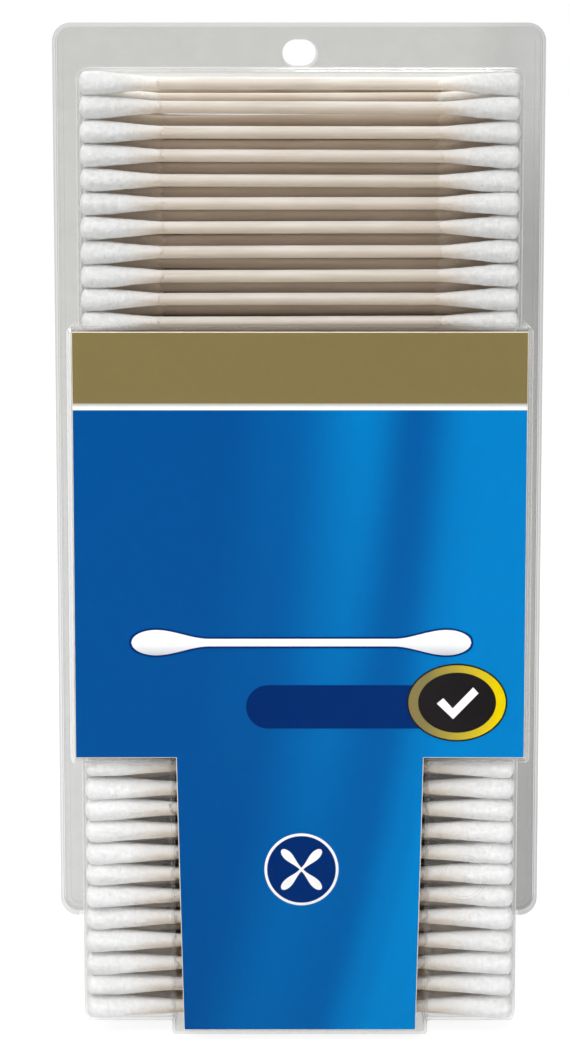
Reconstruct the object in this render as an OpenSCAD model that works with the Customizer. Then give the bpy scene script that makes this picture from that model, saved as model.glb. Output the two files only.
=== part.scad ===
// Clear hanging tub packed with cotton swabs. The thin formed tub opens into a flat
// flange, has a raised T-shaped pocket for its card, and is closed by a lid at the back.
// +Z is up, the front looks towards -Y, and the origin is under the middle of the pack.

/* [Pack] */
// Width over the rim of the flange
pack_w = 101.6; // [98:0.2:108]
// Height over the rim of the flange
pack_h = 189.4; // [182:0.2:200]
// Depth from the front of the raised pocket to the back of the rim
pack_d = 60; // [58:0.5:66]
// Thickness of the clear sheet that the tub and the lid are formed from
sheet = 0.5; // [0.4:0.05:0.6]

/* [Tub] */
// Width of the tub across its front windows
tub_w = 80.2; // [76:0.2:82]
// Drop from the top of the rim to the top of the tub
tub_drop = 9.9; // [9.4:0.1:14]
// Rise from the foot of the rim to the foot of the windows
tub_rise = 2.9; // [2.8:0.1:4]
// Outer radius of the tub's edges
edge_r = 2.6; // [1.6:0.1:2.8]

/* [Raised pocket] */
// Drop from the top of the rim to the top of the cross bar
bar_drop = 56.2; // [50:0.2:62]
// Height of the cross bar
bar_h = 80.2; // [70:0.2:85]
// How far the cross bar stands out from each side of the tub
bar_out = 1.8; // [1.6:0.1:2.2]
// Width of the stem
stem_w = 47.2; // [40:0.2:50]
// How far the stem hangs below the foot of the windows
stem_out = 1.4; // [1:0.1:1.4]
// How far the whole pocket stands out from the front windows
pocket_out = 1.5; // [1.2:0.1:2]
// Outer radius of the pocket's edges
pocket_r = 1.2; // [0.8:0.1:1.2]
// Radius of the fillets in the two corners where the stem leaves the cross bar
fillet_r = 1.6; // [1:0.1:2.4]
// Diameter of the small ring that stands out on the right window
ring_d = 8.4; // [6:0.2:10]
// Distance of the middle of the ring from the middle of the pack
ring_x = 30.1; // [29:0.1:34]
// Height of the middle of the ring
ring_z = 31.2; // [20:0.2:40]

/* [Flange] */
// Width of the rolled rim round the flange
rim_w = 1.3; // [1.1:0.05:1.3]
// How far the rim stands out in front of the flange
rim_out = 0.8; // [0.5:0.1:1.2]
// Depth of the skirt that turns back round the lid
skirt_d = 1.8; // [1.6:0.1:2.4]
// Outer radius of the flange's corners
rim_r = 3.8; // [3:0.1:5]
// Width of the hang hole
hole_w = 6.9; // [6:0.1:8]
// Height of the hang hole
hole_h = 5.4; // [4.8:0.1:5.6]
// Drop from the top of the rim to the middle of the hang hole
hole_drop = 6.1; // [5.8:0.1:6.2]

/* [Card] */
// Thickness of the card
card_t = 0.45; // [0.3:0.05:0.5]
// How much the card's tongue narrows down to its foot
tongue_taper = 2.5; // [0:0.1:8]

/* [Swabs] */
// Clearance between each end of a swab and the wall of the tub
swab_clear = 0.5; // [0.4:0.1:2]
// Diameter of the paper stick
stick_d = 2.2; // [1.8:0.1:2.4]
// Largest diameter that a cotton bud may have
bud_d = 3.85; // [3.4:0.05:4.2]
// Length of a cotton bud along its stick
bud_l = 15; // [11:0.5:17]
// Mean height of one packed row
row_h = 4.13; // [4:0.01:4.6]
// Share by which the rows are looser at the top and tighter at the bottom
settle = 0.035; // [0:0.005:0.04]
// Number of layers from front to back
layers = 12; // [11:1:12]

/* [Hidden] */
$fn = 48;
gap = 0.3; // running gap between the lid and the tub
slack = 0.1; // slack between still pieces
through = 0.4; // how far a cutter runs past a face

// Planes across the depth
front_y = -pack_d / 2;
back_y = pack_d / 2;
window_y = front_y + pocket_out;
flange_y = back_y - skirt_d;
flange_back_y = flange_y + sheet;

// Heights
tub_top = pack_h - tub_drop;
bar_top = pack_h - bar_drop;
bar_foot = bar_top - bar_h;
stem_foot = tub_rise - stem_out;
hole_z = pack_h - hole_drop;

// Widths
bar_w = tub_w + 2 * bar_out;

// Lid
lid_side = sheet + gap;
lid_rim_w = 1.2;
lid_front_y = flange_back_y + gap;
lid_hole_more = 0.5; // the lid's hole is a little larger and lower, so both rims show

// Card
card_y = front_y + sheet + slack;
card_margin = sheet + slack + (pocket_r - sheet) / 2; // clears the blend round the pocket's front
tongue_w = stem_w - 2 * card_margin;

// Ring on the window
ring_w = 0.5;
ring_out = 0.25;

// Rows of swabs
swab_l = tub_w - 2 * (sheet + swab_clear);
row_clear = 0.9;
inner_top = tub_top - sheet - row_clear;
inner_foot = tub_rise + sheet + row_clear;
rows = floor((inner_top - inner_foot - bud_d) / row_h) + 1;
mean_pitch = (inner_top - inner_foot - bud_d) / (rows - 1);
low_pitch = mean_pitch * (1 - settle);
bud_r = min(bud_d, low_pitch - slack) / 2;
stick_r = stick_d / 2;

// Layers of swabs
front_layer_y = window_y + sheet + slack + bud_r;
back_layer_y = flange_back_y - slack - bud_r;
layer_pitch = (back_layer_y - front_layer_y) / (layers - 1);

// A bud swells over a short tip, then thins down to the stick
tip_l = 1.3;
tip_share = 0.55; // radius of the very end, as a share of the fullest one
bud_cover = 2; // cotton beyond the end of the stick
bud_mouth = 0.25; // cotton round the stick where the bud ends

layer_numbers = [for (i = [1 : layers]) i];

clear_colour = [0.86, 0.87, 0.87, 0.45];
lid_colour = [0.8, 0.82, 0.82, 0.4];
card_colour = [0.01, 0.33, 0.64];
paper_colour = [0.93, 0.9, 0.85];
cotton_colour = [0.97, 0.97, 0.97];

// Height of a row: the pitch shrinks evenly from the top row to the bottom one.
// Odd layers start half a pitch lower, in the hollows of the layer before.
function row_z(i) =
    inner_top - bud_d / 2 - mean_pitch * (i + settle * i * (1 - i / (rows - 1)));

function layer_y(n) = front_layer_y + (n - 1) * layer_pitch;
function staggered(n) = (n % 2 == 0) ? 0.5 : 0;
function rows_in(n) = rows - ceil(staggered(n));

module rounded_rect(w, h, r) {
    square([w - 2 * r, h], center = true);
    square([w, h - 2 * r], center = true);
    for (sx = [-1, 1], sz = [-1, 1])
        translate([sx * (w / 2 - r), sz * (h / 2 - r)])
            circle(r);
}

// Upright plate: lies across Y from y to y + t, with its foot at z
module upright(z, y, t) {
    translate([0, y + t, z])
        rotate([90, 0, 0])
            linear_extrude(t)
                children();
}

// Flange-sized plate whose outline lies in from the rim's outline by inset
module rim_plate(inset, y, t) {
    upright(pack_h / 2, y, t)
        rounded_rect(pack_w - 2 * inset, pack_h - 2 * inset, rim_r - inset);
}

module oblong(w, h) {
    square([w - h, h], center = true);
    for (sx = [-1, 1])
        translate([sx * (w - h) / 2, 0])
            circle(h / 2);
}

// Outline of a box seen along one of its sides, with its two front corners blended
module blended_side(length, depth, r) {
    translate([-length / 2, r])
        square([length, depth - r]);
    translate([r - length / 2, 0])
        square([length - 2 * r, depth]);
    for (s = [-1, 1])
        translate([s * (length / 2 - r), r])
            circle(r);
}

// Box open to the back with every other edge blended. w is its width, foot and top its
// lowest and highest levels, y its front. inset draws the same form inside the sheet,
// running out through the flange.
module formed_box(w, foot, top, y, r, inset = 0) {
    front = y + inset;
    back = flange_y + (inset > 0 ? sheet + through : 0);
    wide = w - 2 * inset;
    high = top - foot - 2 * inset;
    round = r - inset;
    middle = (top + foot) / 2;
    intersection() {
        upright(middle, front, back - front)
            rounded_rect(wide, high, round);
        translate([0, front, middle - high / 2])
            linear_extrude(high)
                blended_side(wide, back - front, round);
        translate([-wide / 2, front, middle])
            rotate([0, 90, 0])
                linear_extrude(wide)
                    blended_side(high, back - front, round);
    }
}

// Post of the given radius that rounds a hollow corner of the form at x, z. sx and sz point
// from the corner into the open, and y is its front.
module corner_post(x, z, sx, sz, r, y, inset = 0) {
    front = y + inset;
    back = flange_y + (inset > 0 ? sheet + through : 0);
    wide = r + inset;
    difference() {
        translate([x + sx * (r - wide / 2), (front + back) / 2, z + sz * (r - wide / 2)])
            cube([wide, back - front, wide], center = true);
        translate([x + sx * r, front - through, z + sz * r])
            rotate([-90, 0, 0])
                cylinder(r = wide, h = back - front + 2 * through);
    }
}

// The three blended volumes that the sheet is drawn over, and the posts in their corners
module tub_form(inset = 0) {
    formed_box(tub_w, tub_rise, tub_top, window_y, edge_r, inset);
    formed_box(bar_w, bar_foot, bar_top, front_y, pocket_r, inset);
    formed_box(stem_w, stem_foot, bar_foot + edge_r, front_y, pocket_r, inset);
    for (s = [-1, 1]) {
        corner_post(s * stem_w / 2, bar_foot, s, -1, fillet_r, front_y + pocket_r, inset);
        corner_post(s * stem_w / 2, tub_rise, s, -1, stem_out - slack, window_y + edge_r, inset);
    }
}

module window_ring() {
    translate([ring_x, window_y, ring_z])
        rotate([90, 0, 0])
            difference() {
                cylinder(d = ring_d, h = ring_out);
                translate([0, 0, -through])
                    cylinder(d = ring_d - 2 * ring_w, h = ring_out + 2 * through);
            }
}

module hang_hole(more = 0) {
    upright(hole_z - more / 2, flange_y - through, skirt_d + 2 * through)
        translate([more / 2, 0])
            oblong(hole_w + more, hole_h + more);
}

module tub() {
    color(clear_colour)
        difference() {
            union() {
                tub_form();
                window_ring();
                rim_plate(0, flange_y, sheet);
                difference() {
                    rim_plate(0, flange_y - rim_out, rim_out);
                    rim_plate(rim_w, flange_y - rim_out - through, rim_out + 2 * through);
                }
                difference() {
                    rim_plate(0, flange_back_y, skirt_d - sheet);
                    rim_plate(sheet, flange_back_y - through, skirt_d + through);
                }
            }
            tub_form(inset = sheet);
            hang_hole();
        }
}

// Shallow clear pan that drops into the skirt, with its flat face at the back
module back_lid() {
    color(lid_colour)
        difference() {
            rim_plate(lid_side, lid_front_y, back_y - lid_front_y);
            rim_plate(lid_side + lid_rim_w, lid_front_y - through, back_y - sheet - lid_front_y + through);
            hang_hole(lid_hole_more);
        }
}

// Flat T of card behind the front of the raised pocket
module label_card() {
    arm = bar_w / 2 - card_margin;
    top = bar_top - card_margin;
    low = bar_foot + card_margin;
    tongue = tongue_w / 2;
    tip = (tongue_w - tongue_taper) / 2;
    foot = stem_foot + card_margin;
    color(card_colour)
        upright(0, card_y, card_t)
            polygon([
                [-arm, top], [-arm, low], [-tongue, low], [-tip, foot],
                [tip, foot], [tongue, low], [arm, low], [arm, top]
            ]);
}

// Places its children once for each swab of layer n
module each_swab(n) {
    for (i = [0 : rows_in(n) - 1])
        translate([0, layer_y(n), row_z(i + staggered(n))])
            children();
}

module stick() {
    length = swab_l - 2 * (bud_cover + slack);
    rotate([0, 90, 0])
        cylinder(r = stick_r, h = length, center = true);
}

// Bud of wound cotton with a blind bore for the stick, its tip at the end of the swab
module bud() {
    translate([-swab_l / 2, 0, 0])
        rotate([0, 90, 0])
            difference() {
                union() {
                    cylinder(r1 = bud_r * tip_share, r2 = bud_r, h = tip_l);
                    translate([0, 0, tip_l])
                        cylinder(r1 = bud_r, r2 = stick_r + slack + bud_mouth, h = bud_l - tip_l);
                }
                translate([0, 0, bud_cover])
                    cylinder(r = stick_r + slack, h = bud_l);
            }
}

module sticks_layer(n) {
    color(paper_colour)
        each_swab(n)
            stick();
}

module buds_layer(n) {
    color(cotton_colour)
        each_swab(n) {
            bud();
            mirror([1, 0, 0])
                bud();
        }
}

tub();
back_lid();
label_card();
for (i = layer_numbers) {
    sticks_layer(i);
    buds_layer(i);
}
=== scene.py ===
import math
import random

import bpy
import numpy as np
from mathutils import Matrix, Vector, noise


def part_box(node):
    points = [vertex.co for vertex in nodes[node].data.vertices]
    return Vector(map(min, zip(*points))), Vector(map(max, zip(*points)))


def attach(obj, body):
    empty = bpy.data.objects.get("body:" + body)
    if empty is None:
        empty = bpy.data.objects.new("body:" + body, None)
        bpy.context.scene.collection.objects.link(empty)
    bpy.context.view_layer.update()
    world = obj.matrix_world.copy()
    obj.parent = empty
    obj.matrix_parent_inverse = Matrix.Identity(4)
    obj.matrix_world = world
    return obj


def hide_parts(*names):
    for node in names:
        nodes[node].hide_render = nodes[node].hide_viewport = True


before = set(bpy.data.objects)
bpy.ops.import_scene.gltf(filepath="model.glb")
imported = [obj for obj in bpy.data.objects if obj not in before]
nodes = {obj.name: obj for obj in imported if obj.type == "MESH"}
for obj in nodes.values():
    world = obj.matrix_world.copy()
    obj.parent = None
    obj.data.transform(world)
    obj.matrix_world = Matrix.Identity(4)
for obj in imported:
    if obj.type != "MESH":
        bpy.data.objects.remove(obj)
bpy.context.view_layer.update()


# The studio: a plain pale floor that runs out to a white surround. A broad soft lamp stands
# at the upper left, a small one above the back, a wide weak one low on the right and a faint
# one at the foot. The camera is close in front, near the pack's top, tipped slightly down.
def lin(*rgb):
    """A colour picked as 0 to 255 values, as linear light."""
    return tuple(
        c / 255 / 12.92 if c <= 10 else ((c / 255 + 0.055) / 1.055) ** 2.4 for c in rgb
    ) + (1.0,)


def add_node(tree, kind, inputs=None, **settings):
    """A node with its settings. Its inputs are linked to sockets or set to plain values."""
    node = tree.nodes.new(kind)
    for name, value in settings.items():
        setattr(node, name, value)
    for name, value in (inputs or {}).items():
        if hasattr(value, "links"):
            tree.links.new(value, node.inputs[name])
        else:
            node.inputs[name].default_value = value
    return node


def add_math(tree, operation, *terms):
    inputs = dict(enumerate(terms))
    return add_node(tree, "ShaderNodeMath", inputs, operation=operation).outputs[0]


def map_range(tree, value, first, last, start, end, course="LINEAR"):
    """What runs from start to end while value runs from first to last."""
    inputs = {"Value": value, "From Min": first, "From Max": last, "To Min": start, "To Max": end}
    return add_node(tree, "ShaderNodeMapRange", inputs, interpolation_type=course).outputs[0]


def mix_shaders(tree, factor, a, b):
    return add_node(tree, "ShaderNodeMixShader", {0: factor, 1: a, 2: b}).outputs[0]


def new_material(name):
    material = bpy.data.materials.new(name)
    material.use_nodes = True
    material.node_tree.nodes.clear()
    return material, material.node_tree


def end_in(tree, shader, kind="ShaderNodeOutputMaterial"):
    add_node(tree, kind, {"Surface": shader})


def seen_directly(tree):
    """1 for rays of sight, also by way of gloss or clear plastic, and 0 for rays of light."""
    path = add_node(tree, "ShaderNodeLightPath").outputs
    sight = add_math(tree, "MAXIMUM", path["Is Camera Ray"], path["Is Glossy Ray"])
    return add_math(tree, "MAXIMUM", sight, path["Is Transmission Ray"])


WHITE = (1, 1, 1, 1)
scene = bpy.context.scene
ambient_turn, ambient_levels = (-0.1, 0.7), (0.34, 0.8)
gloss_turn, gloss_losses = (-0.9, 0.1), (0.9, 0.0)
world = bpy.data.worlds.new("studio")
world.use_nodes = True
scene.world = world
tree = world.node_tree
tree.nodes.clear()
sky = add_node(tree, "ShaderNodeTexCoord").outputs["Generated"]
backward = add_node(tree, "ShaderNodeSeparateXYZ", {0: sky}).outputs["Y"]
ambient = map_range(tree, backward, *ambient_turn, *ambient_levels, "SMOOTHSTEP")
lost = map_range(tree, backward, *gloss_turn, *gloss_losses, "SMOOTHSTEP")
gloss_ray = add_node(tree, "ShaderNodeLightPath").outputs["Is Glossy Ray"]
shown = add_math(tree, "SUBTRACT", 1, add_math(tree, "MULTIPLY", gloss_ray, lost))
room = add_node(tree, "ShaderNodeBackground", {"Color": WHITE, "Strength": ambient})
white = add_node(tree, "ShaderNodeBackground", {"Color": WHITE, "Strength": shown})
both = mix_shaders(tree, seen_directly(tree), room.outputs[0], white.outputs[0])
end_in(tree, both, "ShaderNodeOutputWorld")
scene.view_settings.view_transform = "Standard"

floor_size = 60
floor_paint = (0.93, 0.93, 0.93, 1)
floor_glow, glow_share = 1.2, 0.75
bpy.ops.mesh.primitive_plane_add(size=floor_size)
floor = bpy.context.object
floor.name = "floor"
material, tree = new_material("pale floor")
paint = add_node(tree, "ShaderNodeBsdfDiffuse", {"Color": floor_paint})
glow = add_node(tree, "ShaderNodeEmission", {"Color": WHITE, "Strength": floor_glow})
share = add_math(tree, "MULTIPLY", seen_directly(tree), glow_share)
end_in(tree, mix_shaders(tree, share, paint.outputs[0], glow.outputs[0]))
floor.data.materials.append(material)

for name, power, size, place, aim, mirrored in (
    ("key lamp", 6.5, 0.5, (-0.22, -0.42, 0.85), (0, 0, 0.09), True),
    ("top lamp", 1.3, 0.12, (0.05, 0.35, 0.75), (0, 0, 0.12), True),
    ("fill lamp", 2.7, 0.8, (0.5, -1.0, 0.02), (0, 0, 0.09), False),
    ("reflector", 0.06, 0.12, (0, -0.2, 0.01), (0, -0.03, 0.06), False),
):
    lamp = bpy.data.lights.new(name, "AREA")
    lamp.energy = power
    lamp.size = size
    holder = bpy.data.objects.new(name, lamp)
    scene.collection.objects.link(holder)
    holder.location = place
    holder.rotation_euler = (Vector(aim) - Vector(place)).to_track_quat("-Z", "Y").to_euler()
    holder.visible_camera = False
    holder.visible_glossy = mirrored

frame_high = 1062
focal_px = 1958
camera_place = (-0.0013, -0.3776, 0.1742)
tipped_down = 4.94
camera_data = bpy.data.cameras.new("camera")
camera_data.sensor_width = 24
camera_data.lens = focal_px / frame_high * camera_data.sensor_width
camera_data.shift_x = -0.0073
camera_data.shift_y = -0.2495
camera_data.clip_start = 0.01
camera = bpy.data.objects.new("camera", camera_data)
scene.collection.objects.link(camera)
camera.location = camera_place
camera.rotation_euler = (math.radians(90 - tipped_down), 0, 0)
scene.camera = camera


# The tub and its lid: clear plastic sheet, drawn over a former while hot. It shows as thin
# grey lines and streaks where it bends, lighter on the left as painted light. The flange looks
# grey because it lies on the lid; the flange and the lid carry painted shade down their right
# side. The bar's corners get a milky haze, strongest on the left, as painted light, and the
# lower windows beside the stem are a little scuffed.
MM = 0.001


def new_group(name, takes, gives):
    """A group of shader nodes; returned with the sockets that it is given and must fill."""
    group = bpy.data.node_groups.new(name, "ShaderNodeTree")
    for way, sockets in (("INPUT", takes), ("OUTPUT", gives)):
        for title, kind in sockets.items():
            group.interface.new_socket(title, in_out=way, socket_type="NodeSocket" + kind)
    given = add_node(group, "NodeGroupInput").outputs
    return group, given, add_node(group, "NodeGroupOutput").inputs


def use_group(tree, group, inputs=None):
    return add_node(tree, "ShaderNodeGroup", inputs, node_tree=group).outputs


def mix_colours(tree, factor, a, b, mode="MIX"):
    inputs = {0: factor, 6: a, 7: b}
    mix = add_node(tree, "ShaderNodeMix", inputs, data_type="RGBA", blend_type=mode)
    return mix.outputs[2]


mottled, given, made = new_group(
    "mottled", {"Scale": "Float", "Low": "Float", "High": "Float"}, {"Factor": "Float"}
)
spot = add_node(mottled, "ShaderNodeTexCoord").outputs["Object"]
grain = {"Vector": spot, "Scale": given["Scale"], "Detail": 3}
grain = add_node(mottled, "ShaderNodeTexNoise", grain).outputs["Fac"]
grain = map_range(mottled, grain, 0, 1, given["Low"], given["High"])
mottled.links.new(grain, made["Factor"])


def mottle(tree, scale, low, high):
    """Fine unevenness, as a factor from low to high."""
    return use_group(tree, mottled, {"Scale": scale, "Low": low, "High": high})["Factor"]


def new_run(name, course):
    """A group that runs from one colour to another along a direction."""
    ends = {"First": "Float", "Last": "Float", "Start": "Color", "End": "Color"}
    group, given, made = new_group(name, {"Direction": "Vector", **ends}, {"Colour": "Color"})
    spot = add_node(group, "ShaderNodeTexCoord").outputs["Object"]
    along = {0: spot, 1: given["Direction"]}
    along = add_node(group, "ShaderNodeVectorMath", along, operation="DOT_PRODUCT")
    run = map_range(group, along.outputs["Value"], given["First"], given["Last"], 0, 1, course)
    group.links.new(mix_colours(group, run, given["Start"], given["End"]), made["Colour"])
    return group


soft_run = new_run("soft run of colour", "SMOOTHSTEP")
even_run = new_run("even run of colour", "LINEAR")
directions = {"X": (1, 0, 0), "Y": (0, 1, 0), "Z": (0, 0, 1)}


def tone_run(tree, axis, first, last, start, end, group=soft_run):
    """Colour start at place first along an axis, in mm, running to end at place last."""
    inputs = {"Direction": directions[axis], "First": first * MM, "Last": last * MM}
    return use_group(tree, group, {**inputs, "Start": start, "End": end})["Colour"]


formed, given, made = new_group(
    "formed sheet",
    {"Scale": "Float", "Smoothest": "Float", "Roughest": "Float", "Depth": "Float"},
    {"Roughness": "Float", "Normal": "Vector"},
)
spot = add_node(formed, "ShaderNodeTexCoord").outputs["Object"]
cloud = {"Vector": spot, "Scale": given["Scale"], "Detail": 4}
cloud = add_node(formed, "ShaderNodeTexNoise", cloud).outputs["Fac"]
rough = map_range(formed, cloud, 0, 1, given["Smoothest"], given["Roughest"])
ripple = {"Strength": 0.25, "Distance": given["Depth"], "Height": cloud}
ripple = add_node(formed, "ShaderNodeBump", ripple).outputs[0]
formed.links.new(rough, made["Roughness"])
formed.links.new(ripple, made["Normal"])


slant_power = 3.0
sheet_sheen, sheet_metal = (0.92, 0.92, 0.92, 1), 0.4
ripples = {"Scale": 60, "Smoothest": 0.08, "Roughest": 0.22, "Depth": 0.3 * MM}


def clear_sheet(name, clear, edge, gloss_share, haze):
    """Clear sheet with a share of gloss that grows at a slant, where it passes the colour
    edge. haze says how milky it is. clear, edge and haze each add nodes to a tree."""
    material, tree = new_material(name)
    facing = add_node(tree, "ShaderNodeLayerWeight", {"Blend": 0.5}).outputs["Facing"]
    slant = add_math(tree, "POWER", facing, slant_power)
    passed = mix_colours(tree, slant, clear(tree), edge(tree))
    through = add_node(tree, "ShaderNodeBsdfTransparent", {"Color": passed}).outputs[0]
    surface = use_group(tree, formed, ripples)
    skin = {
        "Base Color": sheet_sheen,
        "Metallic": sheet_metal,
        "Roughness": surface["Roughness"],
        "Normal": surface["Normal"],
    }
    skin = add_node(tree, "ShaderNodeBsdfPrincipled", skin).outputs[0]
    gloss = add_math(tree, "MULTIPLY", slant, gloss_share)
    film = mix_shaders(tree, add_math(tree, "ADD", gloss, haze(tree)), through, skin)
    shadow_ray = add_node(tree, "ShaderNodeLightPath").outputs["Is Shadow Ray"]
    end_in(tree, mix_shaders(tree, shadow_ray, film, through))
    return material


def grey(value):
    return (value, value, value * 0.997, 1)


def tub_clear(tree):
    """Clear, but for the flange and rim at the back and the stem's foot. The flange darkens
    towards the right as painted shade.
    """
    # Painted shade: the flange grows darker towards its right side.
    flange = tone_run(tree, "X", 30, 50, grey(0.845), grey(0.78))
    foot = tone_run(tree, "Z", 1.4, 2.6, grey(0.9), grey(0.985))
    return tone_run(tree, "Y", 24, 27, foot, flange)


def slant_painted_light(tree, left, right):
    """Walls seen at a slant, lighter on the left: painted light from the key lamp's side."""
    return tone_run(tree, "X", -40, 20, grey(left), grey(right))


def tub_edge(tree):
    return slant_painted_light(tree, 0.97, 0.86)


def beyond(tree, x, y, z=None):
    """1 beyond x mm either side, in front of y mm and below z mm, and 0 elsewhere."""
    spot = add_node(tree, "ShaderNodeTexCoord").outputs["Object"]
    split = add_node(tree, "ShaderNodeSeparateXYZ", {0: spot}).outputs
    beside = add_math(tree, "GREATER_THAN", add_math(tree, "ABSOLUTE", split["X"]), x * MM)
    front = add_math(tree, "LESS_THAN", split["Y"], y * MM)
    where = add_math(tree, "MULTIPLY", beside, front)
    if z is not None:
        where = add_math(tree, "MULTIPLY", where, add_math(tree, "LESS_THAN", split["Z"], z * MM))
    return where, split


def tub_haze(tree):
    """Scuffs on the windows beside the stem, and a milky haze on the bar's corners, strongest on
    the left, as painted light.
    """
    windows, split = beyond(tree, 23.6, -26, 53)
    scuffs = add_math(tree, "MULTIPLY", windows, mottle(tree, 420, 0.02, 0.045))
    # Painted light: a milky haze lightens the bar's corners, more on the left than the right.
    corners, split = beyond(tree, 41, -24)
    amount = map_range(tree, split["X"], -40 * MM, 40 * MM, 0.5, 0.15)
    return add_math(tree, "ADD", scuffs, add_math(tree, "MULTIPLY", corners, amount))


def lid_clear(tree):
    """Paler at its foot, with painted shade down its right side, and streaky."""
    plain = tone_run(tree, "Z", 20, 150, grey(0.905), (0.925, 0.925, 0.914, 1))
    corner = tone_run(tree, "X", 40, 50, plain, grey(0.98))
    # Painted shade: the right side is darker below the top.
    right_painted_shade = tone_run(tree, "Z", 140, 182, grey(0.785), corner)
    tone = tone_run(tree, "X", 34, 47, plain, right_painted_shade)
    return mix_colours(tree, 1.0, tone, mottle(tree, 260, 0.965, 1.02), "MULTIPLY")


def lid_edge(tree):
    # Painted light: the lid's slanting walls are lighter on the left, too.
    return slant_painted_light(tree, 0.75, 0.6)


def lid_haze(tree):
    return mottle(tree, 420, 0.005, 0.015)


def dress(node, material):
    mesh = nodes[node].data
    mesh.materials.clear()
    mesh.materials.append(material)


dress("tub", clear_sheet("clear sheet", tub_clear, tub_edge, 0.9, tub_haze))
dress("back_lid", clear_sheet("lid sheet", lid_clear, lid_edge, 0.5, lid_haze))


# The swabs: rolled paper sticks with a bud of cotton wound on each end. They lie in
# staggered layers, pressed together by the tub, so the buds are wider than they are high
# and no stick is quite straight. Light soaks through the cotton and the paper.
least_gap = 0.6 * MM


def stick_heights(node):
    """The height of each stick in a CAD layer, from the top down."""
    heights = sorted(v.co.z for v in nodes[node].data.vertices)
    rows = [[heights[0]]]
    for z in heights[1:]:
        if z - rows[-1][-1] > least_gap:
            rows.append([])
        rows[-1].append(z)
    return [(row[0] + row[-1]) / 2 for row in reversed(rows)]


def tube(path, radii, flat, around):
    """Rings of points about a path along X. flat is the rings' width over their height."""
    angles = np.linspace(0, 2 * math.pi, around, endpoint=False)
    rings = np.empty((len(path), around, 3))
    rings[:, :, 0] = path[:, None, 0]
    rings[:, :, 1] = path[:, None, 1] + radii * np.sin(angles) * flat
    rings[:, :, 2] = path[:, None, 2] + radii * np.cos(angles)
    return rings


def ring_faces(count, around, start):
    """The faces of a closed tube of rings, whose points begin at start."""
    ring = np.arange(around)
    after = (ring + 1) % around
    low = start + np.arange(count - 1)[:, None] * around
    quads = np.stack([low + ring, low + after, low + around + after, low + around + ring], -1)
    ends = [
        tuple(start + ring[::-1]),
        tuple(start + (count - 1) * around + ring),
    ]
    return [tuple(q) for q in quads.reshape(-1, 4)] + ends


def swab_path(x, lie):
    """Where the middle of a swab runs: lie is its slope and bow in height and depth."""
    slope_z, bow_z, slope_y, bow_y, y, z = lie
    along = x / half_swab
    arch = 1 - along**2
    return np.stack(
        [x, y + slope_y * along + bow_y * arch, z + slope_z * along + bow_z * arch], -1
    )


def mesh_object(name, points, faces, materials, smooth=True):
    mesh = bpy.data.meshes.new(name)
    mesh.from_pydata(points, [], faces)
    mesh.update()
    for material in materials:
        mesh.materials.append(material)
    if smooth:
        mesh.polygons.foreach_set("use_smooth", [True] * len(mesh.polygons))
    thing = bpy.data.objects.new(name, mesh)
    scene.collection.objects.link(thing)
    return thing


def soak(tree, skin, share):
    """Lets a share of the light pass through thin paper or cotton."""
    path = add_node(tree, "ShaderNodeLightPath").outputs
    light = add_math(tree, "MAXIMUM", path["Is Shadow Ray"], path["Is Diffuse Ray"])
    through = add_node(tree, "ShaderNodeBsdfTransparent").outputs[0]
    end_in(tree, mix_shaders(tree, add_math(tree, "MULTIPLY", light, share), skin, through))


rolled, given, made = new_group(
    "rolled paper", {"Pale": "Color", "Deep": "Color"}, {"Colour": "Color", "Normal": "Vector"}
)
spot = add_node(rolled, "ShaderNodeTexCoord").outputs["Object"]
drawn_out = {"Vector": spot, "Scale": (60, 2500, 2500)}
drawn_out = add_node(rolled, "ShaderNodeMapping", drawn_out).outputs[0]
fibre = {"Vector": drawn_out, "Scale": 1, "Detail": 3}
fibre = add_node(rolled, "ShaderNodeTexNoise", fibre).outputs["Fac"]
blotch = add_node(rolled, "ShaderNodeTexNoise", {"Vector": spot, "Scale": 90}).outputs["Fac"]
darker = add_math(rolled, "MULTIPLY", add_math(rolled, "MULTIPLY", fibre, blotch), 1.6)
ridges = {"Strength": 0.4, "Distance": 0.03 * MM, "Height": fibre}
ridges = add_node(rolled, "ShaderNodeBump", ridges).outputs[0]
rolled.links.new(mix_colours(rolled, darker, given["Pale"], given["Deep"]), made["Colour"])
rolled.links.new(ridges, made["Normal"])


def paper_material(name, pale, deep, soaks):
    material, tree = new_material(name)
    paper = use_group(tree, rolled, {"Pale": pale(tree), "Deep": deep})
    skin = {"Base Color": paper["Colour"], "Roughness": 0.7, "Normal": paper["Normal"]}
    soak(tree, add_node(tree, "ShaderNodeBsdfPrincipled", skin).outputs[0], soaks)
    return material


wound, given, made = new_group(
    "wound cotton",
    {
        "Pale": "Color",
        "Deep": "Color",
        "Shade": "Color",
        "Paper": "Color",
        "Thinning": "Float",
        "Gone": "Float",
    },
    {"Colour": "Color", "Normal": "Vector"},
)
spot = add_node(wound, "ShaderNodeTexCoord").outputs["Object"]
turned = {"Vector": spot, "Scale": (1900, 1100, 1100)}
turned = add_node(wound, "ShaderNodeMapping", turned).outputs[0]
fibre = {"Vector": turned, "Scale": 1, "Detail": 5, "Roughness": 0.7}
fibre = add_node(wound, "ShaderNodeTexNoise", fibre).outputs["Fac"]
lumps = {"Vector": spot, "Scale": 1000, "Detail": 2}
lumps = add_node(wound, "ShaderNodeTexNoise", lumps).outputs["Fac"]
nap = add_math(wound, "ADD", fibre, add_math(wound, "MULTIPLY", lumps, 0.9))
patchy = map_range(wound, nap, 0.65, 1.25, 0, 1)
colour = mix_colours(wound, patchy, given["Deep"], given["Pale"])
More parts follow.
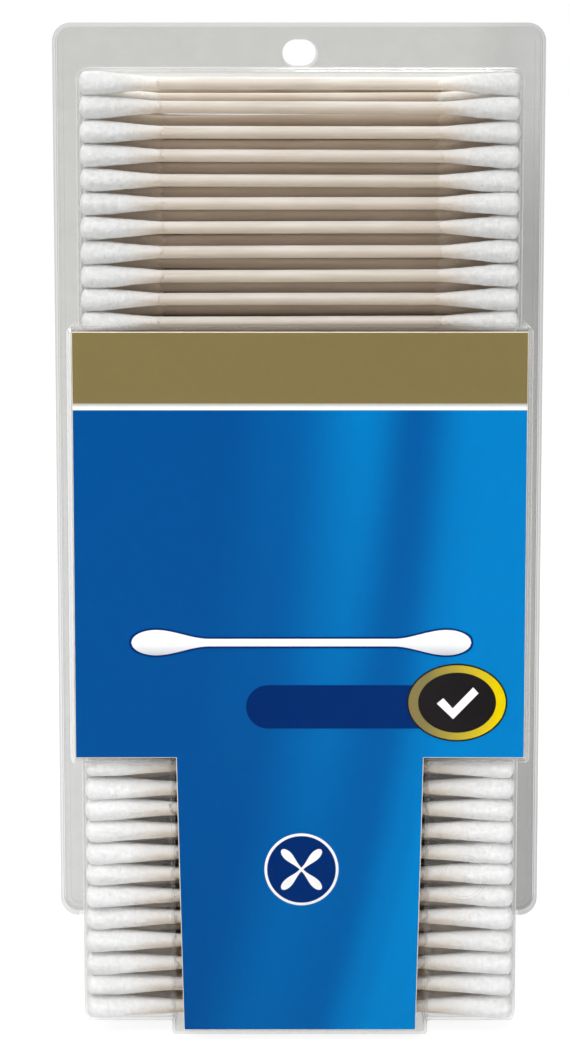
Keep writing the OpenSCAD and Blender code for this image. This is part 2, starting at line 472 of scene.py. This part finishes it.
# Shade carries painted shade, multiplied into the cotton's colour.
colour = mix_colours(wound, 1.0, colour, given["Shade"], "MULTIPLY")
inward = add_node(wound, "ShaderNodeSeparateXYZ", {0: spot}).outputs["X"]
inward = add_math(wound, "ABSOLUTE", inward)
worn_away = map_range(wound, inward, given["Thinning"], given["Gone"], 0, 1)
fluff = {"Strength": 0.7, "Distance": 0.3 * MM, "Height": nap}
fluff = add_node(wound, "ShaderNodeBump", fluff).outputs[0]
wound.links.new(mix_colours(wound, worn_away, colour, given["Paper"]), made["Colour"])
wound.links.new(fluff, made["Normal"])


def cotton_material(name, pale, deep, paper, thinning, gone, soaks):
    """Wound cotton, thinning out over the paper between two places along the stick, in mm."""
    material, tree = new_material(name)
    inputs = {
        "Pale": pale,
        "Deep": deep,
        # Painted shade: the cotton darkens towards the top rows.
        "Shade": tone_run(tree, "Z", 50, 140, grey(0.92), grey(0.78)),
        "Paper": paper(tree),
        "Thinning": thinning * MM,
        "Gone": gone * MM,
    }
    cotton = use_group(tree, wound, inputs)
    skin = {
        "Base Color": cotton["Colour"],
        "Roughness": 0.95,
        "Specular IOR Level": 0.1,
        "Sheen Weight": 0.1,
        "Sheen Roughness": 0.6,
        "Normal": cotton["Normal"],
    }
    soak(tree, add_node(tree, "ShaderNodeBsdfPrincipled", skin).outputs[0], soaks)
    return material


painted_underside_shade, given, made = new_group(
    "painted_underside_shade", {"Colour": "Color", "Painted Shade": "Color"}, {"Colour": "Color"}
)
# Painted shade: the colour is darkened on faces that turn downwards, as if shaded by the sticks
# beneath.
normal = add_node(painted_underside_shade, "ShaderNodeNewGeometry").outputs["Normal"]
upward = add_node(painted_underside_shade, "ShaderNodeSeparateXYZ", {0: normal}).outputs["Z"]
upward = map_range(painted_underside_shade, upward, -0.35, 0.75, 0, 1, "SMOOTHSTEP")
below = mix_colours(painted_underside_shade, 1.0, given["Colour"], given["Painted Shade"], "MULTIPLY")
painted_underside_shade.links.new(mix_colours(painted_underside_shade, upward, below, given["Colour"]), made["Colour"])


def front_tone(tree):
    """White paper, with painted shade on its lower side, where it faces the sticks beneath, and
    painted light on the top row.
    """
    rows = tone_run(tree, "Z", 50, 100, lin(224, 222, 220), lin(222, 219, 216))
    # Painted light: the top row is paler, as if lit through the tub's top wall.
    upper = tone_run(tree, "Z", 173, 176, rows, lin(242, 240, 238))
    inputs = {"Colour": upper, "Painted Shade": (0.86, 0.76, 0.65, 1)}
    return use_group(tree, painted_underside_shade, inputs)["Colour"]


def inner_painted_shade(tree):
    # Painted shade: a browner copy of the front paper, with painted light on the top row.
    return tone_run(tree, "Z", 169, 174, lin(206, 186, 166), lin(226, 218, 206))


def far_painted_shade(tree):
    # Painted shade: darker still for the far layers, with painted light on the top row.
    return tone_run(tree, "Z", 170, 173, lin(152, 128, 104), lin(222, 213, 200))


def shaded_end(tree):
    # Painted shade: cotton thinning into brown paper, with painted light on the top row.
    return tone_run(tree, "Z", 170, 173, lin(216, 196, 175), lin(228, 222, 212))


# The inner and far layers use darker, browner copies of the paper and cotton as painted shade.
front_paper = paper_material("rolled paper", front_tone, lin(190, 178, 163), 0.12)
inner_paper = paper_material("shaded paper", inner_painted_shade, lin(180, 156, 133), 0.5)
far_paper = paper_material("deep paper in painted shade", far_painted_shade, lin(120, 96, 74), 0.45)
cotton = cotton_material(
    "wound cotton", lin(253, 253, 253), lin(234, 234, 235), front_tone, 32, 25.5, 0.4
)
deep_cotton = cotton_material(
    "shaded cotton", lin(236, 234, 232), lin(216, 213, 210), shaded_end, 37, 34, 0.85
)

bud_length = 14.6 * MM
full_length = 2.6 * MM
tip_length = 1.5 * MM
tip_start, tip_round = 0.02, 0.4
crowded = 1.3
even_share, eased_share = 0.72, 0.28
lumpy, thin_lumpy = 0.1, 0.85
large_knots, small_knots, small_share = (240, 1.3), (900, 3.5), 0.6
ragged_end, ragged_round = 1.4 * MM, 2


def bud_shape(steps):
    """Places along a bud from its tip, most of them near the tip, with the share of its full
    width that the round tip has at each and how far it has thinned towards the stick."""
    s = np.linspace(0, 1, steps) ** crowded * bud_length
    tip = (1 - (1 - np.clip(s / tip_length, tip_start, 1)) ** 3) ** tip_round
    thin = np.clip((s - full_length) / (bud_length - full_length), 0, 1)
    return s, tip, even_share * thin + eased_share * thin * thin * (3 - 2 * thin)


def knots(p, angle, seed, close, wide):
    """Uneven winding round a bud, at a distance p along it in metres."""
    return noise.noise((p * close + seed, wide * math.cos(angle), wide * math.sin(angle)))


def lumps_on(places, angles, seed):
    """How far the cotton stands out at each place along a bud and each angle round it."""
    return np.array([
        [
            knots(p, a, seed, *large_knots) + small_share * knots(p, a, seed, *small_knots)
            for a in angles
        ]
        for p in places
    ])


cotton_past_solid = 0.35 * MM
half_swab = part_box("buds_layer_1")[1].x + cotton_past_solid
stick_radius = 1.14 * MM
stick_short = 2 * MM
stick_around, stick_rings = 16, 9
finest, finer, coarse = (24, 26), (14, 14), (10, 10)
first_seed, knot_seeds = 100, 50
front_sway, inner_sway, bow_share = 0.14, 0.4, 0.6
depth_sway, depth_bow = 0.15, 0.25
tightest, loosest = 0.495, 0.515
bud_flat, bud_end = 1.06, 0.95
start_spread = 0.5
fluffy_below, fluffy_wider, fluffy_longer, fluffy_end = 54 * MM, 1.05, 1.12, 1.08
front_stir, second_stir = 0.12, (-0.2, 0.25)
sag = 0.3 * MM
drift = 0.85 * MM
settled_at = (6, 28, 54, 130, 176)
settled_by = (-0.75, 0.6, 0.8, 0, 0.35)
slump_at, slump_by = (8, 32), (-2.1, 0)
layers = sorted(int(n.split("_")[-1]) for n in nodes if n.startswith("sticks_layer_"))

for layer in layers:
    outside = layer == layers[0]
    close = layer in (layers[1], layers[-1])
    around, steps = finest if outside else finer if close else coarse
    draw = random.Random(first_seed + layer)
    node = f"sticks_layer_{layer}"
    low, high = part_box(node)
    heights = stick_heights(node)
    sway = front_sway if outside else inner_sway
    s, tip, thin = bud_shape(steps)
    angles = np.linspace(0, 2 * math.pi, around, endpoint=False)
    stick_points, stick_faces, bud_points, bud_faces = [], [], [], []
    for row, z in enumerate(heights):
        after = min(row + 1, len(heights) - 1)
        pitch = abs(heights[after] - heights[after - 1])
        fluffy = z < fluffy_below
        if outside:
            settled = draw.uniform(-front_stir, front_stir) * MM
        elif layer == layers[1]:
            slump = np.interp(z / MM, slump_at, slump_by) * MM
            settled = -sag + draw.uniform(*second_stir) * MM + slump
        else:
            settled = drift * ((-1) ** (layer + 1) if row else -1)
        lie = (
            draw.uniform(-sway, sway) * MM,
            draw.uniform(-sway, sway) * bow_share * MM,
            draw.uniform(-depth_sway, depth_sway) * MM,
            draw.uniform(-depth_bow, depth_bow) * MM,
            (low.y + high.y) / 2,
            z + settled + np.interp(z / MM, settled_at, settled_by) * MM,
        )
        x = np.linspace(stick_short - half_swab, half_swab - stick_short, stick_rings)
        stick_faces += ring_faces(stick_rings, stick_around, len(stick_points))
        radii = np.full((stick_rings, 1), stick_radius)
        stick_points += tube(swab_path(x, lie), radii, 1, stick_around).reshape(-1, 3).tolist()
        for side in (-1, 1):
            full = pitch * draw.uniform(tightest, loosest) * (fluffy_wider if fluffy else 1)
            start = draw.uniform(-start_spread, start_spread) * MM
            end = stick_radius * (fluffy_end if fluffy and outside else bud_end)
            longer = fluffy_longer if fluffy and outside else 1
            radius = tip * (full - (full - end) * thin)
            x = side * (half_swab - s * (longer + start / bud_length))
            seed = draw.uniform(0, knot_seeds)
            lumps = lumpy * lumps_on(s, angles, seed) * (1 - thin_lumpy * thin[:, None])
            radii = radius[:, None] * (1 + lumps)
            rings = tube(swab_path(x, lie), radii, bud_flat, around)
            ragged = [knots(0, a, seed, 0, ragged_round) for a in angles]
            rings[-1, :, 0] -= side * np.array(ragged) * ragged_end
            if side > 0:
                rings = rings[:, ::-1]
            bud_faces += ring_faces(steps, around, len(bud_points))
            bud_points += rings.reshape(-1, 3).tolist()
    shown = outside or layer == layers[-1]
    paper = front_paper if shown else inner_paper if close else far_paper
    sticks = mesh_object(f"paper_sticks_{layer}", stick_points, stick_faces, [paper])
    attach(sticks, "pack")
    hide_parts(node)
    wool = cotton if shown else deep_cotton
    buds = mesh_object(f"cotton_buds_{layer}", bud_points, bud_faces, [wool])
    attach(buds, "pack")
    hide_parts(f"buds_layer_{layer}")


# The card: a T of coated board behind the front of the raised pocket. It is printed with a
# gold band, a white line greyed at its top by painted shadow and a blue field with soft folds,
# and its cut edges show cream.
# The printed pieces are flat shapes of ink, one over the other.
def colour_stops(tree, factor, stops, course="LINEAR"):
    """Colours along a factor, from (place, colour) stops."""
    ramp = add_node(tree, "ShaderNodeValToRGB", {0: factor})
    ramp.color_ramp.interpolation = course
    marks = ramp.color_ramp.elements
    while len(marks) < len(stops):
        marks.new(1)
    for mark, (at, colour) in zip(marks, stops):
        mark.position = at
        mark.color = colour
    return ramp.outputs[0]


def coated(tree, colour, rough=0.42):
    """Ink or bare board under a thin coat, with an uneven sheen."""
    skin = {
        "Base Color": mix_colours(tree, 1.0, colour, mottle(tree, 900, 0.97, 1.03), "MULTIPLY"),
        "Roughness": mottle(tree, 350, rough - 0.06, rough + 0.06),
        "Specular IOR Level": 0.03,
    }
    end_in(tree, add_node(tree, "ShaderNodeBsdfPrincipled", skin).outputs[0])


def ink_material(name, axis, first, last, start, end):
    """Ink that runs evenly from one colour to another along an axis, between places in mm."""
    material, tree = new_material(name)
    coated(tree, tone_run(tree, axis, first, last, start, end, even_run))
    return material


band_foot = 119.35 * MM
line_foot = 118.1 * MM
fold_slope, fold_curve, fold_shift = 0.3034, 0.996, 1.85 * MM
folds_left, folds_right = -36 * MM, 14 * MM
gold = lin(131, 118, 75)
line_painted_shadow, line_white = lin(165, 160, 150), lin(250, 250, 250)
printed, tree = new_material("printed face")
spot = add_node(tree, "ShaderNodeTexCoord").outputs["Object"]
split = add_node(tree, "ShaderNodeSeparateXYZ", {0: spot}).outputs
x, z = split["X"], split["Z"]
leaning = add_math(tree, "SUBTRACT", fold_slope, add_math(tree, "MULTIPLY", z, fold_curve))
from_fold = add_math(tree, "SUBTRACT", x, add_math(tree, "MULTIPLY", z, leaning))
from_fold = add_math(tree, "ADD", from_fold, fold_shift)
across = map_range(tree, from_fold, folds_left, folds_right, 0, 1)
upper, lower = (
    colour_stops(tree, across, [(at, lin(0, tone, tone + 71)) for at, tone in stops], "EASE")
    for stops in (
        ((0.05, 81), (0.27, 94), (0.56, 126), (0.735, 91), (0.95, 129)),
        ((0.30, 81), (0.58, 99), (0.78, 94), (0.93, 119), (1.0, 129)),
    )
)
field = mix_colours(tree, map_range(tree, z, 119 * MM, 40 * MM, 0, 1), upper, lower)
# Painted shadow: the white line greys towards the gold band above it.
in_line = map_range(tree, z, band_foot, line_foot, 0, 1)
line = colour_stops(tree, in_line, ((0.0, line_painted_shadow), (0.6, line_white)))
face = mix_colours(tree, add_math(tree, "GREATER_THAN", z, line_foot), field, line)
face = mix_colours(tree, add_math(tree, "GREATER_THAN", z, band_foot), face, gold)
coated(tree, face)

board, tree = new_material("cut board")
pulp = mottle(tree, 1600, 0.0, 1.0)
coated(tree, mix_colours(tree, pulp, lin(250, 240, 222), lin(226, 212, 190)), 0.7)

low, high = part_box("label_card")
card_front, card_back = low.y, high.y
arm, top, foot = high.x / MM, high.z / MM, low.z / MM
step, tongue, tongue_foot = 54.0, 22.6, 21.4
bevel, bevel_depth = 0.12, 0.06 * MM
outline = [(-arm, top), (-arm, step), (-tongue, step), (-tongue_foot, foot)]
outline += [(-x, z) for x, z in reversed(outline)]
inward = [
    (x - math.copysign(bevel, x), z - bevel if z > 0.9 * top else z + bevel) for x, z in outline
]
corners = len(outline)
points = [(x * MM, card_front, z * MM) for x, z in inward]
points += [(x * MM, card_front + bevel_depth, z * MM) for x, z in outline]
points += [(x * MM, card_back, z * MM) for x, z in outline]
faces = [tuple(range(corners)), tuple(range(3 * corners - 1, 2 * corners - 1, -1))]
for ring in (0, corners):
    for i in range(corners):
        j = (i + 1) % corners
        faces.append((ring + j, ring + i, ring + corners + i, ring + corners + j))
card = mesh_object("printed_card", points, faces, [printed, board], smooth=False)
for polygon in card.data.polygons[1:]:
    polygon.material_index = 1
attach(card, "pack")
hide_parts("label_card")


def oval(x, z, rx, rz, count=64):
    turn = np.linspace(0, 2 * math.pi, count, endpoint=False)
    return [(x + rx * math.cos(a), z + rz * math.sin(a)) for a in turn]


def swab_outline(x, z, length, scale, grow, turn=0.0):
    """A swab seen from the side: two drop-shaped heads on a thin stick, grown by grow mm."""
    head, blunt, head_half, neck = 14.1, 4.5, 2.35, 1.65
    s = head * np.linspace(0, 1, 26) ** crowded
    tip = np.sqrt(1 - (1 - np.clip(s / blunt, 0, 1)) ** 2)
    thin = np.clip((s - blunt) / (head - blunt), 0, 1)
    half = tip * (head_half - neck * thin * thin * (3 - 2 * thin)) * scale + grow
    along = (s - grow / scale * (1 - np.clip(s / 2, 0, 1))) * scale - length / 2
    upper = list(zip(along, half)) + list(zip(-along[::-1], half[::-1]))
    ring = upper + [(a, -h) for a, h in reversed(upper)]
    cos, sin = math.cos(turn), math.sin(turn)
    return [(x + a * cos - h * sin, z + a * sin + h * cos) for a, h in ring]


def print_shapes(name, material, shapes):
    """Flat shapes just in front of the card: each is a height above it in mm and an outline."""
    points, faces = [], []
    for height, ring in shapes:
        area = sum(a[0] * b[1] - b[0] * a[1] for a, b in zip(ring, ring[1:] + ring[:1]))
        ring = ring if area > 0 else ring[::-1]
        faces.append(tuple(range(len(points), len(points) + len(ring))))
        points += [(x * MM, card_front - height * MM, z * MM) for x, z in ring]
    shape = mesh_object(name, points, faces, [material], smooth=False)
    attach(shape, "pack")


swab_x, swab_z, swab_length, swab_line = 0.25, 75.5, 61.7, 0.36
badge_x, badge_z = 28.6, 64.35
seal_x, seal_z, seal_swab, seal_scale = 0.3, 33.05, 10.4, 0.34
pill_left, pill_foot, pill_top = -9.8, 59.5, 67.6
pill_end = (pill_top - pill_foot) / 2
pill = [(badge_x, pill_foot), (badge_x, pill_top)] + [
    (
        pill_left + pill_end - pill_end * math.sin(a),
        (pill_top + pill_foot) / 2 + pill_end * math.cos(a),
    )
    for a in np.linspace(0, math.pi, 33)
]
tick = [(24.9, 64.2), (26.1, 65.2), (27.8, 63.3), (31.5, 67.2), (32.5, 66.1), (27.9, 61.3)]
print_shapes(
    "printed_navy",
    ink_material("navy ink", "X", -30, 30, lin(0, 40, 105), lin(0, 47, 114)),
    [
        (0.02, swab_outline(swab_x, swab_z, swab_length, 1, swab_line)),
        (0.02, pill),
        (0.03, oval(seal_x, seal_z, 6.3, 6.3)),
    ],
)
print_shapes(
    "printed_white",
    ink_material("white ink", "Z", 73.4, 75.6, lin(206, 208, 214), lin(254, 254, 254)),
    [(0.04, swab_outline(swab_x, swab_z, swab_length, 1, 0))],
)
print_shapes(
    "printed_seal",
    ink_material("seal ink", "Z", 27, 39, lin(240, 240, 240), lin(252, 252, 252)),
    [
        (0.02, oval(seal_x, seal_z, 6.8, 6.8)),
        (0.05, swab_outline(seal_x, seal_z, seal_swab, seal_scale, 0, 0.8)),
        (0.06, swab_outline(seal_x, seal_z, seal_swab, seal_scale, 0, -0.8)),
        (0.08, tick),
    ],
)
print_shapes(
    "printed_dark",
    ink_material("dark ink", "X", 20, 37, lin(38, 34, 36), lin(30, 27, 28)),
    [
        (0.05, oval(badge_x, badge_z, 9.15, 7.25)),
        (0.07, oval(badge_x, badge_z, 7.1, 5.6)),
    ],
)
print_shapes(
    "printed_ring",
    ink_material("gold ink", "X", 23, 36, lin(140, 127, 80), lin(235, 209, 0)),
    [(0.06, oval(badge_x, badge_z, 8.85, 6.95))],
)
